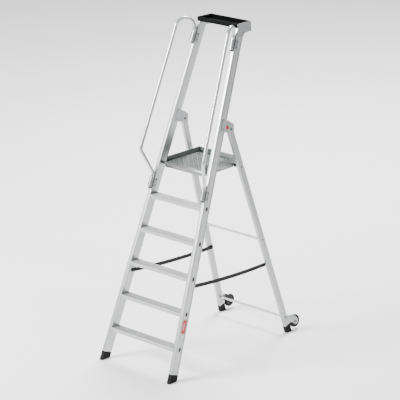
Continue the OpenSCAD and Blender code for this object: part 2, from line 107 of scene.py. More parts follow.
class Finish:
    """A node-based material with one Principled shader and a few helpers."""

    # New pieces carry "grain", their points in the frame that they were drawn
    # in, so that die lines run along a slanted part. CAD nodes have none, and
    # their materials use object coordinates.
    for_cad_node = False

    def __init__(self, name, colour, rough, metallic=0.0, **sockets):
        self.mat = bpy.data.materials.new(name + ("_node" if self.for_cad_node else ""))
        self.mat.use_nodes = True
        self.tree = self.mat.node_tree
        self.shader = self.tree.nodes["Principled BSDF"]
        self.shader.inputs["Base Color"].default_value = (*colour, 1)
        self.shader.inputs["Roughness"].default_value = rough
        self.shader.inputs["Metallic"].default_value = metallic
        for key, value in sockets.items():
            self.shader.inputs[key.replace("_", " ")].default_value = value
        if self.for_cad_node:
            self.coord = self.tree.nodes.new("ShaderNodeTexCoord").outputs["Object"]
        else:
            grain = self.tree.nodes.new("ShaderNodeAttribute")
            grain.attribute_name = "grain"
            self.coord = grain.outputs["Vector"]

    def join(self, value, socket):
        if isinstance(value, bpy.types.NodeSocket):
            self.tree.links.new(value, socket)
        else:
            socket.default_value = value

    def scaled(self, scale, turn=(0, 0, 0)):
        n = self.tree.nodes.new("ShaderNodeMapping")
        n.inputs["Scale"].default_value = scale
        n.inputs["Rotation"].default_value = [math.radians(a) for a in turn]
        self.tree.links.new(self.coord, n.inputs["Vector"])
        return n.outputs["Vector"]

    def noise(self, scale, detail=3.0, rough=0.5, vector=None):
        n = self.tree.nodes.new("ShaderNodeTexNoise")
        n.inputs["Scale"].default_value = scale
        n.inputs["Detail"].default_value = detail
        n.inputs["Roughness"].default_value = rough
        self.tree.links.new(vector or self.coord, n.inputs["Vector"])
        return n.outputs["Fac"]

    def cells(self, scale):
        n = self.tree.nodes.new("ShaderNodeTexVoronoi")
        n.inputs["Scale"].default_value = scale
        self.tree.links.new(self.coord, n.inputs["Vector"])
        return n.outputs["Distance"]

    def wave(self, scale, direction):
        n = self.tree.nodes.new("ShaderNodeTexWave")
        n.bands_direction = direction
        n.inputs["Scale"].default_value = scale
        self.tree.links.new(self.coord, n.inputs["Vector"])
        return n.outputs["Fac"]

    def span(self, value, a0, a1, b0, b1):
        """Maps value from a0..a1 to b0..b1 and clamps it there."""
        n = self.tree.nodes.new("ShaderNodeMapRange")
        n.inputs["From Min"].default_value = a0
        n.inputs["From Max"].default_value = a1
        n.inputs["To Min"].default_value = b0
        n.inputs["To Max"].default_value = b1
        self.tree.links.new(value, n.inputs["Value"])
        return n.outputs["Result"]

    def spread(self, noise, b0=0.0, b1=1.0):
        """Maps a noise, which is mostly between 0.3 and 0.7, to b0..b1."""
        return self.span(noise, 0.3, 0.7, b0, b1)

    def maths(self, kind, a, b):
        n = self.tree.nodes.new("ShaderNodeMath")
        n.operation = kind
        self.join(a, n.inputs[0])
        self.join(b, n.inputs[1])
        return n.outputs[0]

    def blend_colours(self, fac, a, b):
        n = self.tree.nodes.new("ShaderNodeMix")
        n.data_type = "RGBA"
        self.join(fac, n.inputs["Factor"])
        # sockets 6 and 7 are the two colours, and output 2 is the mixed colour
        for value, socket in ((a, n.inputs[6]), (b, n.inputs[7])):
            self.join(value if isinstance(value, bpy.types.NodeSocket) else (*value, 1), socket)
        return n.outputs[2]

    def colour(self, value):
        self.tree.links.new(value, self.shader.inputs["Base Color"])

    def rough(self, value):
        self.tree.links.new(value, self.shader.inputs["Roughness"])

    def bump(self, height, strength, distance):
        """Adds a bump on top of those that are there."""
        n = self.tree.nodes.new("ShaderNodeBump")
        n.inputs["Strength"].default_value = strength
        n.inputs["Distance"].default_value = distance
        self.tree.links.new(height, n.inputs["Height"])
        last = self.shader.inputs["Normal"].links
        if last:
            self.tree.links.new(last[0].from_socket, n.inputs["Normal"])
        self.tree.links.new(n.outputs["Normal"], self.shader.inputs["Normal"])


def drawn_aluminium(name, along, tone, rough):
    """Extruded or drawn aluminium: die lines along one axis, faint stains, handling marks."""
    f = Finish(name, (tone, tone * 1.005, tone * 1.01), rough, 0.88)
    stretch = [1.0, 1.0, 1.0]
    stretch["XYZ".index(along)] = 0.012
    lines = f.noise(1500, 4, 0.65, f.scaled(stretch))
    broad = f.noise(260, 3, 0.6, f.scaled(stretch))
    cloud = f.noise(5.5, 5, 0.6)
    marks = f.span(f.noise(70, 8, 0.75), 0.60, 0.74, 0.0, 1.0)
    light = (tone * 1.06, tone * 1.065, tone * 1.07)
    dark = (tone * 0.92, tone * 0.93, tone * 0.945)
    smudge = (tone * 0.72, tone * 0.73, tone * 0.74)
    base = f.blend_colours(f.span(cloud, 0.32, 0.68, 0.0, 1.0), dark, light)
    streaked = f.blend_colours(f.span(broad, 0.35, 0.7, 0.0, 0.30), base, dark)
    f.colour(f.blend_colours(f.maths("MULTIPLY", marks, 0.22), streaked, smudge))
    f.rough(f.maths("ADD", f.spread(lines, rough - 0.06, rough + 0.07),
                    f.maths("MULTIPLY", marks, 0.08)))
    f.bump(lines, 0.16, 0.00012)
    f.bump(cloud, 0.05, 0.002)
    return f.mat


def plate_aluminium():
    """Pressed sheet: a fine one-way grain, clouding and small spots."""
    f = Finish("plate_aluminium", (0.70, 0.71, 0.72), 0.42, 0.9)
    grain = f.noise(1100, 4, 0.6, f.scaled((1, 0.05, 1)))
    cloud = f.noise(14, 5, 0.6)
    spots = f.span(f.cells(160), 0.0, 0.22, 1.0, 0.0)
    base = f.blend_colours(f.spread(cloud), (0.33, 0.336, 0.343), (0.41, 0.415, 0.42))
    f.colour(f.blend_colours(f.maths("MULTIPLY", spots, 0.10), base, (0.27, 0.275, 0.28)))
    f.rough(f.spread(grain, 0.36, 0.50))
    f.bump(grain, 0.12, 0.0001)
    return f.mat


def deck_metal(name, tone, rough):
    """Mill-finish tread plate with a dull, slightly green cast, walked on."""
    f = Finish(name, tone, rough, 0.75)
    cloud = f.noise(9, 6, 0.62)
    fine = f.noise(420, 4, 0.6)
    scuff = f.span(f.noise(48, 8, 0.8, f.scaled((1, 0.35, 1), (0, 0, 33))), 0.56, 0.72, 0.0, 1.0)
    base = f.blend_colours(f.spread(cloud), shade(tone, 0.86), shade(tone, 1.10))
    f.colour(f.blend_colours(f.maths("MULTIPLY", scuff, 0.35), base, shade(tone, 0.72)))
    f.rough(f.spread(fine, rough - 0.07, rough + 0.09))
    f.bump(fine, 0.2, 0.00015)
    f.bump(cloud, 0.10, 0.002)
    return f.mat


def moulded_plastic(name, tone, rough, grain, dust=0.10, gloss=0.20):
    """Moulded plastic: pebbled skin, faint flow marks, patches of dust."""
    f = Finish(name, tone, rough, 0.0, Specular_IOR_Level=gloss)
    pebble = f.noise(grain, 3, 0.55)
    flow = f.noise(22, 5, 0.6)
    dusty = f.span(f.noise(60, 7, 0.7), 0.52, 0.72, 0.0, dust)
    base = f.blend_colours(f.spread(flow), shade(tone, 0.82), shade(tone, 1.18))
    f.colour(f.blend_colours(dusty, base, (0.22, 0.215, 0.20)))
    f.rough(f.spread(pebble, rough - 0.06, rough + 0.10))
    f.bump(pebble, 0.30, 0.0003)
    return f.mat


def rubber(name, tone, dust):
    """Matt rubber, fine-grained and scuffed pale by dust."""
    f = Finish(name, tone, 0.78, 0.0, Specular_IOR_Level=0.2)
    fine = f.noise(700, 4, 0.65)
    worn = f.span(f.noise(55, 8, 0.72), 0.46, 0.70, 0.0, dust)
    base = f.blend_colours(f.spread(f.noise(25, 4)), shade(tone, 0.8), shade(tone, 1.25))
    f.colour(f.blend_colours(worn, base, (0.20, 0.19, 0.175)))
    f.rough(f.spread(fine, 0.68, 0.88))
    f.bump(fine, 0.35, 0.0003)
    return f.mat


def plated_steel(name, tone, rough, metallic=0.95):
    """Plated or blackened steel: small crystals and stains."""
    f = Finish(name, tone, rough, metallic)
    crystals = f.cells(420)
    stain = f.noise(90, 6, 0.65)
    base = f.blend_colours(f.spread(stain), shade(tone, 0.78), shade(tone, 1.15))
    f.colour(f.blend_colours(f.span(crystals, 0.0, 0.5, 0.16, 0.0), base, shade(tone, 0.6)))
    f.rough(f.spread(stain, rough - 0.05, rough + 0.12))
    f.bump(f.noise(900, 3), 0.14, 0.00012)
    return f.mat


def woven_webbing():
    """Flat woven strap: ribs across, picks along, a little fuzz and grime."""
    f = Finish("webbing", (0.012, 0.012, 0.013), 0.86, 0.0,
               Sheen_Weight=0.08, Sheen_Roughness=0.5, Specular_IOR_Level=0.15)
    ribs = f.wave(150, "Y")
    picks = f.wave(190, "Z")
    weave = f.maths("MULTIPLY", ribs, picks)
    fuzz = f.noise(1300, 4, 0.7)
    grime = f.span(f.noise(30, 6, 0.7), 0.42, 0.7, 0.0, 0.5)
    base = f.blend_colours(f.span(weave, 0.0, 1.0, 0.0, 1.0),
                           (0.008, 0.008, 0.009), (0.030, 0.030, 0.033))
    f.colour(f.blend_colours(grime, base, (0.030, 0.028, 0.026)))
    f.rough(f.spread(fuzz, 0.78, 0.94))
    f.bump(weave, 0.8, 0.0006)
    f.bump(fuzz, 0.3, 0.0002)
    return f.mat


def label_film(name, tone):
    """Printed film under a thin clear coat, slightly faded."""
    f = Finish(name, tone, 0.34, 0.0,
               Coat_Weight=0.15, Coat_Roughness=0.25, Specular_IOR_Level=0.3)
    ink = f.noise(900, 3, 0.6)
    fade = f.noise(28, 5, 0.6)
    base = f.blend_colours(f.spread(fade), shade(tone, 0.85), shade(tone, 1.15))
    f.colour(f.blend_colours(f.span(ink, 0.45, 0.7, 0.0, 0.18), base, shade(tone, 0.7)))
    f.rough(f.spread(fade, 0.28, 0.42))
    f.bump(ink, 0.08, 0.0001)
    return f.mat


def floor_paint():
    f = Finish("floor_paint", (0.80, 0.80, 0.79), 0.6)
    f.colour(f.blend_colours(f.spread(f.noise(1.2, 4)), (0.85, 0.85, 0.845), (0.87, 0.87, 0.865)))
    f.bump(f.noise(160, 3), 0.05, 0.001)
    return f.mat


FINISHES = {
    "profile": drawn_aluminium("profile_aluminium", "Z", 0.46, 0.36),
    "tread": drawn_aluminium("tread_aluminium", "X", 0.46, 0.32),
    "leg": drawn_aluminium("leg_aluminium", "Z", 0.40, 0.38),
    # a dark aluminium for the bottoms of the tread's grooves: painted shade
    "groove": drawn_aluminium("groove_painted_shade", "X", 0.13, 0.55),
    "tube": drawn_aluminium("tube_aluminium", "Z", 0.52, 0.27),
    "tube_x": drawn_aluminium("crosstube_aluminium", "X", 0.48, 0.28),
    "plate": plate_aluminium(),
    # the plate between the raised bars is much darker than the bars of the same metal: painted
    # shade
    "deck": deck_metal("deck_plate_painted_shade", (0.045, 0.052, 0.049), 0.54),
    "bar": deck_metal("deck_bars", (0.27, 0.295, 0.283), 0.38),
    "plastic": moulded_plastic("black_plastic", (0.010, 0.010, 0.011), 0.46, 900, 0.06),
    "tray": moulded_plastic("tray_plastic", (0.0026, 0.0028, 0.0030), 0.50, 620, 0.015, 0.05),
    # the inside of the tray: darker, with less gloss and dust than the outside, as painted shade
    "tray_painted_shade": moulded_plastic("tray_shaded_inside_plastic", (0.0012, 0.0013, 0.0014),
                                   0.62, 620, 0.006, 0.02),
    "foot": rubber("foot_rubber", (0.0045, 0.0045, 0.005), 0.06),
    "tyre": rubber("tyre_rubber", (0.010, 0.010, 0.0105), 0.22),
    "hub": moulded_plastic("hub_plastic", (0.050, 0.052, 0.052), 0.40, 800),
    "zinc": plated_steel("zinc_steel", (0.30, 0.307, 0.32), 0.34),
    "dark_bolt": plated_steel("dark_bolt_steel", (0.012, 0.0122, 0.013), 0.45, 0.3),
    "pin": plated_steel("pin_steel", (0.10, 0.102, 0.107), 0.36, 0.85),
    "clamp": plated_steel("clamp_steel", (0.30, 0.303, 0.307), 0.40, 0.8),
    "red": moulded_plastic("red_plastic", (0.46, 0.020, 0.040), 0.32, 1000, 0.04),
    "webbing": woven_webbing(),
    "label": label_film("label_film", (0.42, 0.010, 0.022)),
    "label_white": label_film("label_white", (0.62, 0.62, 0.61)),
}
Finish.for_cad_node = True
FINISHES.update({
    "cad_plastic": moulded_plastic("black_plastic", (0.012, 0.012, 0.013), 0.46, 900),
    "cad_zinc": plated_steel("zinc_steel", (0.46, 0.47, 0.49), 0.34),
    "cad_plate": plate_aluminium(),
    "cad_beam": drawn_aluminium("beam_aluminium", "X", 0.20, 0.40),
    "cad_board": deck_metal("board_sheet", (0.27, 0.29, 0.28), 0.42),
    # the boards' faces towards the deck: a dark slate colour that is painted shade
    "cad_board_painted_shade": moulded_plastic("board_painted_shade", (0.125, 0.142, 0.136), 0.50, 500, 0.2),
    "floor": floor_paint(),
})

# ---------- sizes and frames, as the CAD has them; millimetres ----------

MM = 0.001


def sin_deg(a):
    return math.sin(math.radians(a))


def cos_deg(a):
    return math.cos(math.radians(a))


def tan_deg(a):
    return math.tan(math.radians(a))


def rot(axis, deg):
    return Matrix.Rotation(math.radians(deg), 4, axis)


def mov(x, y, z):
    return Matrix.Translation((x * MM, y * MM, z * MM))


# degrees: lean and inward taper of the stiles, then of the legs
LEAN, TAPER, LEG_LEAN, LEG_TAPER = 20.5, 3.48, 18.4, 3.53
STILE_MID, STILE_LOW, STILE_HIGH = 339, 71.5, 2598
LEG_LOW = 64
# half widths of the stile's and the leg's sections
STILE_HALF, LEG_HALF = 14, 12.5
PLATE_T = 2.5
TREAD_STEP, TREAD_H, TREAD_NOSE = 240, 28, 3
TREADS = range(1, 6)
TUBE_HEIGHTS = {"low": 132, "middle": 805, "top": 1411}
TUBE_R = 9
WHEEL_R, WHEEL_W, WHEEL_PLAY = 50, 25, 2
# axle: behind the leg's middle, and along the leg
AXLE_Y, AXLE_Z = 95.5, 40
# hinge pin: behind the stile's front face, and along the stile
HINGE_B, HINGE_A = 139, 1882

# the same sums as in part.scad, rounded to a micron or finer
exact_hinge_y = HINGE_B * cos_deg(LEAN) + HINGE_A * sin_deg(LEAN)
exact_hinge_z = HINGE_A * cos_deg(LEAN) - HINGE_B * sin_deg(LEAN)
exact_leg_y0 = exact_hinge_y + exact_hinge_z * tan_deg(LEG_LEAN)
HINGE_Y, HINGE_Z = round(exact_hinge_y, 3), round(exact_hinge_z, 3)
LEG_Y0 = round(exact_leg_y0, 7)
LEG_MID = round(STILE_MID - HINGE_A * tan_deg(TAPER)
                + exact_hinge_z / cos_deg(LEG_LEAN) * tan_deg(LEG_TAPER), 8)
# the object is centred between the front feet and the back of the wheels
FOOT_SKIN = 1
front_end = -FOOT_SKIN / cos_deg(LEAN)
back_end = exact_leg_y0 + AXLE_Y * cos_deg(LEG_LEAN) - AXLE_Z * sin_deg(LEG_LEAN) + WHEEL_R
Y_SHIFT = -(front_end + back_end) / 2

UPRIGHT = mov(0, Y_SHIFT, 0)
STILE = UPRIGHT @ rot("X", -LEAN) @ mov(STILE_MID, 0, 0) @ rot("Y", -TAPER)
LEG = (UPRIGHT @ mov(0, LEG_Y0, 0) @ rot("X", LEG_LEAN)
       @ mov(LEG_MID, 0, 0) @ rot("Y", -LEG_TAPER))
RAIL = STILE @ mov(0, -15.5, 0) @ rot("Z", -65.7)
IN_PLACE = Matrix.Identity(4)
FLIP = Matrix.Diagonal((-1, 1, 1, 1))
SIDES = (("left", True), ("right", False))

# ---------- shape tools: points in millimetres ----------

CIRCLE_POINTS = 40


def circle(r):
    turns = [2 * math.pi * k / CIRCLE_POINTS for k in range(CIRCLE_POINTS)]
    return [(r * math.cos(a), r * math.sin(a)) for a in turns]


def at_z(loop, z):
    return [(x, y, z) for x, y in loop]


def rounded(poly, r, n=4):
    """The closed loop poly with its corners rounded; r is one radius or one for each corner."""
    out = []
    for i, p in enumerate(poly):
        ri = r[i] if isinstance(r, (list, tuple)) else r
        p = Vector(p)
        a, b = Vector(poly[i - 1]) - p, Vector(poly[(i + 1) % len(poly)]) - p
        half = a.angle(b) / 2
        if ri <= 0 or half > math.radians(89):
            out.append(tuple(p))
            continue
        t = min(ri / math.tan(half), a.length * 0.49, b.length * 0.49)
        rr = t * math.tan(half)
        c = p + (a.normalized() + b.normalized()).normalized() * (rr / math.sin(half))
        s, e = p + a.normalized() * t - c, p + b.normalized() * t - c
        a0, a1 = math.atan2(s.y, s.x), math.atan2(e.y, e.x)
        turn = (a1 - a0 + math.pi) % (2 * math.pi) - math.pi
        out += [(c.x + rr * math.cos(a0 + turn * k / n), c.y + rr * math.sin(a0 + turn * k / n))
                for k in range(n + 1)]
    return out


def box_loop(x0, x1, y0, y1, r, n=4):
    return rounded([(x0, y0), (x1, y0), (x1, y1), (x0, y1)], r, n)


def inset(loop, d):
    """The loop moved inwards by d."""
    if not d:
        return loop
    area = sum(loop[i - 1][0] * p[1] - p[0] * loop[i - 1][1] for i, p in enumerate(loop))
    sign = 1 if area > 0 else -1
    out = []
    for i, p in enumerate(loop):
        p, a, b = Vector(p), Vector(loop[i - 1]), Vector(loop[(i + 1) % len(loop)])
        e0, e1 = (p - a).normalized(), (b - p).normalized()
        n0, n1 = Vector((-e0.y, e0.x)) * sign, Vector((-e1.y, e1.x)) * sign
        # at a sharp point the corner moves no further than this limit allows
        out.append(tuple(p + (n0 + n1) * (d / max(0.3, 1 + n0.dot(n1)))))
    return out


class Shape:
    """Vertices and faces of one piece, in a local frame, with a material for each face."""

    def __init__(self):
        self.v, self.f, self.m = [], [], []

    def points(self, pts):
        start = len(self.v)
        self.v += [tuple(p) for p in pts]
        return list(range(start, len(self.v)))

    def face(self, ids, mat):
        self.f.append(ids)
        self.m.append(mat)

    def repaint(self, mat, test):
        """Gives mat to each face whose corners pass the test."""
        for i, ids in enumerate(self.f):
            if test([self.v[q] for q in ids]):
                self.m[i] = mat

    def loft(self, rings, mat, ends=True, around=False):
        """Rings of equal count joined one to the next; around joins the last to the first."""
        ids = [self.points(r) for r in rings]
        n = len(ids[0])
        pairs = list(zip(ids, ids[1:])) + ([(ids[-1], ids[0])] if around else [])
        for a, b in pairs:
            for i in range(n):
                self.face([a[i], a[(i + 1) % n], b[(i + 1) % n], b[i]], mat)
        if ends and not around:
            self.face(ids[0][::-1], mat)
            self.face(ids[-1], mat)
        return self

    def prism_z(self, loop, z0, z1, mat, c):
        """A bar along z with its end edges broken by c."""
        small = inset(loop, c)
        return self.loft([at_z(small, z0), at_z(loop, z0 + c),
                          at_z(loop, z1 - c), at_z(small, z1)], mat)

    def plate_x(self, loop, x0, t, mat, c):
        """A plate in the y-z plane, from x0 to x0 + t, with its edges broken by c."""
        small = inset(loop, c)
        return self.loft([[(x, y, z) for y, z in lp] for lp, x in (
            (small, x0), (loop, x0 + c), (loop, x0 + t - c), (small, x0 + t))], mat)

    def turned_x(self, profile, y, z, mat, n, around=False):
        """Turned about an x axis through (y, z), from stations of x, radius and "hex" or nothing.

        In a hex station the ring is a hexagon of that radius, for a socket.
        """
        rings = []
        for station in profile:
            x, r = station[:2]
            ring = []
            for k in range(n):
                a = 2 * math.pi * k / n
                q = r
                if len(station) > 2:
                    q *= math.cos(math.pi / 6) / math.cos(a % (math.pi / 3) - math.pi / 6)
                ring.append((x, y + q * math.cos(a), z + q * math.sin(a)))
            rings.append(ring)
        return self.loft(rings, mat, around=around)

    def button(self, x, side, y, z, r, h, socket=True):
        """A bolt or rivet head on the face at x, standing out by h towards side, 1 or -1."""
        dome = [(0, 0.96), (0.08, 1), (0.35, 1), (0.62, 0.90), (0.84, 0.72), (1, 0.52)]
        dome += [(1, 0.44, "hex"), (0.35, 0.42, "hex")] if socket else [(1, 0.2)]
        profile = [(x + side * out * h, r * share, *kind) for out, share, *kind in dome]
        return self.turned_x(profile, y, z, "dark_bolt", 36)

    def make(self, name, placed, left, body, nodes, slot,
             open_ends=(), sharp=34, blended=False):
        """Builds the object from its own frame, mirrored to the left side if asked.

        open_ends are the z at which two lofts, one inside the other, are closed
        with a flat rim. A blended piece is left unattached here and hides no nodes; the caller
        bakes its transform and hides its node.
        """
        mats = list(dict.fromkeys(self.m))
        me = bpy.data.meshes.new(name)
        bm = bmesh.new()
        sx = -1 if left else 1
        vs = [bm.verts.new((sx * x * MM, y * MM, z * MM)) for x, y, z in self.v]
        bm.verts.ensure_lookup_table()
        for ids, m in zip(self.f, self.m):
            face = bm.faces.new([vs[i] for i in ids])
            face.material_index = mats.index(m)
            face.smooth = True
        for z in open_ends:
            edges = [e for e in bm.edges
                     if e.is_boundary and all(abs(v.co.z - z * MM) < 1e-6 for v in e.verts)]
            bmesh.ops.triangle_fill(bm, edges=edges, use_beauty=True)
        bmesh.ops.remove_doubles(bm, verts=bm.verts, dist=1e-6)
        bmesh.ops.dissolve_degenerate(bm, edges=bm.edges, dist=1e-6)
        bmesh.ops.recalc_face_normals(bm, faces=bm.faces)
        bm.to_mesh(me)
        bm.free()
        grain = me.attributes.new("grain", "FLOAT_VECTOR", "POINT")
        grain.data.foreach_set("vector", [c for v in me.vertices for c in v.co])
        me.transform(FLIP @ placed @ FLIP if left else placed)
        me.set_sharp_from_angle(angle=math.radians(sharp))
        for m in mats:
            me.materials.append(FINISHES[m])
        ob = bpy.data.objects.new(name, me)
        bpy.context.collection.objects.link(ob)
        if not blended:
            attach(ob, body)
            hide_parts(*nodes)
        return ob


def height_z(placed, x, y, height=0.0):
    """Local z at which the line through local (x, y) is at the given height over the floor."""
    m = placed
    return ((height * MM - m[2][3] - m[2][0] * x * MM - m[2][1] * y * MM) / m[2][2]) / MM


def inner_face(placed, half_width):
    """A point of a stile's or leg's inner face, in metres, and the direction out of it."""
    point = placed @ Vector((-half_width * MM, 0, 0))
    return point, (placed.to_3x3() @ Vector((1, 0, 0))).normalized()


def between(face, loop):
    """Two rings, left and right, where the bar of section loop (y, z) meets the inner faces."""
    point, out = face

    def reach(y, z):
        return (point.x - (out.y * (y * MM - point.y) + out.z * (z * MM - point.z)) / out.x) / MM

    return [[(k * reach(y, z), y, z) for y, z in loop] for k in (-1, 1)]


# ---------- front ladder ----------

# box section with a shallow channel in its outer face and a groove behind each lip
stile_outer = rounded(
    [(-14, 0), (14, 0), (14, 9), (10.4, 9.4), (10.4, 12.4), (12.5, 12.8), (12.5, 62.2),
     (10.4, 62.6), (10.4, 65.6), (14, 66), (14, 75), (-14, 75)],
    [1.6, 1.6, 0.5, 0.3, 0.3, 0.5, 0.5, 0.3, 0.3, 0.5, 1.6, 1.6])
stile_inner = box_loop(-12, 9.6, 2, 73, 0.8, 3)
# the bottom of that channel
CHANNEL_X = 12.5
stile_ends = (STILE_LOW, STILE_HIGH)
for side, left in SIDES:
    s = Shape()
    for loop in (stile_outer, stile_inner):
        s.loft([at_z(loop, z) for z in stile_ends], "profile", ends=False)
    s.make("stile_" + side + "_profile", STILE, left, "front_frame", ["stile_" + side],
           "aluminium", open_ends=stile_ends)

GROOVES, GROOVE_Y0, GROOVE_PITCH, GROOVE_W, GROOVE_DEEP = 8, 9, 8.5, 3.5, 1.2


def tread_loop():
    """Outline of a tread in (y, z) with its corner radii: ribbed top, grooved nose."""
    corners = [(0, 0, 2.2), (0, 12.2, 0.5), (1.1, 12.6, 0.3), (1.1, 15.4, 0.3), (0, 15.8, 0.5),
               (0, TREAD_H, 2.6)]
    for k in range(GROOVES):
        y, low = GROOVE_Y0 + GROOVE_PITCH * k, TREAD_H - GROOVE_DEEP
        corners += [(y, TREAD_H, 0.45), (y + 0.35, low, 0.3),
                    (y + GROOVE_W - 0.35, low, 0.3), (y + GROOVE_W, TREAD_H, 0.45)]
    corners += [(80, TREAD_H, 2.6), (80, 0, 2.2)]
    return rounded([c[:2] for c in corners], [c[2] for c in corners], 3)


def groove_shade_test(nose, top):
    """A test for the bottoms of the grooves in a tread with its nose at y and top at z; these get
    a dark aluminium as painted shade.
    """
    def test(corners):
        if len(corners) != 4:
            return False
        back = sum(c[1] for c in corners) / 4 - nose
        deep = top - sum(c[2] for c in corners) / 4
        return (9 < back < 73 and 0.9 < deep < 1.5) or (0.9 < back < 1.3 and 12 < deep < 16)

    return test


stile_face = inner_face(STILE, STILE_HALF)
for i in TREADS:
    z = TREAD_STEP * i
    y0 = z * tan_deg(LEAN) - TREAD_NOSE + Y_SHIFT
    section = [(y0 + y, z - TREAD_H + h) for y, h in tread_loop()]
    s = Shape().loft(between(stile_face, section), "tread")
    # the bottoms of the grooves are painted dark: painted shade
    s.repaint("groove", groove_shade_test(y0, z))
    s.make("tread_%d_profile" % i, IN_PLACE, False, "front_frame", ["tread_%d" % i],
           "aluminium", sharp=28)

pitch = TREAD_STEP / cos_deg(LEAN) / cos_deg(TAPER)
for side, left in SIDES:
    s = Shape()
    for i in TREADS:
        plug = box_loop(31.3, 50.7, i * pitch - 14.7, i * pitch + 14.7, 2.2)
        s.plate_x(plug, CHANNEL_X, 2.0, "plastic", 0.5)
    s.make("tread_plugs_" + side, STILE, left, "front_frame", ["tread_plugs"], "black_plastic")

# front feet, with two grooves round them: stations are an inset and a height over the
# floor, then an inset and z along the stile
foot_loop = box_loop(-15, 15, -1, 76, 2.6, 5)
on_floor = ((1.6, 0.0), (0.3, 0.9), (0, 2.6))
on_stile = (
    (0, 33.5), (0.9, 34.2), (0.9, 36.4), (0, 37.1), (0, 47.5), (0.9, 48.2), (0.9, 50.4),
    (0, 51.1), (0, 69.6), (0.5, 70.9), (1.2, 71.5),
)
for side, left in SIDES:
    rings = [[(x, y, height_z(STILE, x, y, up)) for x, y in inset(foot_loop, d)]
             for d, up in on_floor]
    rings += [at_z(inset(foot_loop, d), z) for d, z in on_stile]
    s = Shape().loft(rings, "foot")
    s.make("foot_front_" + side + "_rubber", STILE, left, "front_frame",
           ["foot_front_" + side], "rubber")

# ---------- hinge ----------

hinge_loop = rounded([(26, 1944), (100, 1940), (160, 1926), (181, 1863), (33, 1848)],
                     [7, 10, 16, 10, 7], 6)
hinge_out = STILE_HALF + PLATE_T
for side, left in SIDES:
    for where, x in (("inner", -hinge_out), ("outer", STILE_HALF)):
        s = Shape().plate_x(hinge_loop, x, PLATE_T, "plate", 0.45)
        s.make("hinge_plate_%s_%s_pressed" % (side, where), STILE, left, "front_frame",
               ["hinge_plate_%s_%s" % (side, where)], "aluminium")
    s = Shape()
    for y, z in ((38, 1936), (52, 1871)):
        for out in (1, -1):
            s.button(out * hinge_out, out, y, z, 4.0, 2.5, socket=False)
    s.make("hinge_rivets_" + side, STILE, left, "front_frame", ["hinge_rivets"], "zinc_steel")
    # round cap with a shallow dish
    s = Shape().turned_x(
        [(16.5, 13.6), (16.9, 14.0), (18.6, 14.0), (19.4, 13.5), (19.9, 12.4), (20.1, 11.0),
         (19.7, 10.4), (19.7, 9.6), (20.2, 8.9), (20.5, 5.0), (20.5, 1.2)], 93, 1891, "red", 64)
    s.make("hinge_cap_" + side, STILE, left, "front_frame", ["hinge_caps"], "red_plastic")
    # pivot pin, along the world's x axis as in the CAD
    mid = STILE_MID - HINGE_A * tan_deg(TAPER)
    a, b = mid - (hinge_out + 0.4), mid + (hinge_out + 0.4)
    s = Shape().turned_x(
        [(a - 4, 3.4, "hex"), (a - 4, 7.0), (a - 3.4, 7.7), (a - 2.6, 8.0), (a, 8.0), (a, 5.0),
         (b, 5.0), (b, 8.0), (b + 2.6, 8.0), (b + 3.4, 7.7), (b + 4, 7.0),
         (b + 4, 3.6, "hex"), (b + 1.6, 3.4, "hex")], HINGE_Y + Y_SHIFT, HINGE_Z, "pin", 48)
    s.make("hinge_pin_%s_turned" % side, IN_PLACE, left, "front_frame",
           ["hinge_pin_" + side], "zinc_steel")

# ---------- handrails ----------

# z along the rail frame of the two ends, the first bend and the centre of the top arc
RAIL_LOW, RAIL_HIGH, RAIL_CORNER, RAIL_TOP = 1335, 2440, 1441, 2521
RAIL_REACH, RAIL_RISE, RAIL_BEND, RAIL_R = 153, 143, 60, 12.5
CLAMP_Z, CLAMP_LEN = (1340, 2447), 70
BEND_STEPS, ARC_STEPS, RUN_STEPS = 12, 32, 6


def rail_path():
    """Centre line in the rail frame: (x, z, heading) with the heading from +z towards +x."""
    turn = math.atan2(RAIL_REACH, RAIL_RISE)
    tangent = RAIL_BEND * math.tan(turn / 2)
    z1, z2 = RAIL_CORNER - tangent, RAIL_CORNER + RAIL_RISE + tangent
    out = [(0, RAIL_LOW, 0), (0, RAIL_LOW + 30, 0), (0, z1, 0)]
    for k in range(1, BEND_STEPS + 1):
        a = turn * k / BEND_STEPS
        out.append((RAIL_BEND * (1 - math.cos(a)), z1 + RAIL_BEND * math.sin(a), a))
    for k in range(BEND_STEPS + 1):
        a = turn * (1 - k / BEND_STEPS)
        out.append((RAIL_REACH - RAIL_BEND * (1 - math.cos(a)), z2 - RAIL_BEND * math.sin(a), a))
    out += [(RAIL_REACH, z2 + (RAIL_TOP - z2) * k / RUN_STEPS, 0)
            for k in range(1, RUN_STEPS + 1)]
    for k in range(1, ARC_STEPS + 1):
        a = math.pi * k / ARC_STEPS
        out.append((RAIL_REACH / 2 * (1 + math.cos(a)),
                    RAIL_TOP + RAIL_REACH / 2 * math.sin(a), -a))
    return out + [(0, RAIL_HIGH + 20, -math.pi), (0, RAIL_HIGH, -math.pi)]


def tube_rings(path, r):
    """Rings square to the heading of each point of the path."""
    return [[(x + u * math.cos(a), v, z - u * math.sin(a)) for u, v in circle(r)]
            for x, z, a in path]


# outline in (x, y) of the half shell on the +x side, with a notch in its flank
shell_in, shell_out, shell_y = 14.3, 16.8, -15.5
inner_arc = [math.radians(38.5) * k / 10 for k in range(11)]
outer_arc = [math.radians(47.6) * k / 10 for k in range(10, -1, -1)]
shell = [(shell_out, 31.3), (shell_out - 0.7, 32), (shell_in + 0.5, 32), (shell_in, 31.4)]
shell += [(shell_in * math.cos(q), shell_y - shell_in * math.sin(q)) for q in inner_arc]
shell += [(shell_out * math.cos(q), shell_y - shell_out * math.sin(q)) for q in outer_arc]
shell += [(shell_out, -13.4), (shell_out - 1.3, -12.8), (shell_out - 1.3, -2.4),
          (shell_out, -1.8)]


# faces of the notch, which are painted dark as shade
def in_notch_painted_shade(corners):
    return len(corners) == 4 and all(
        -13.6 < y < -1.6 and abs(x) > shell_out - 2 for x, y, _ in corners)


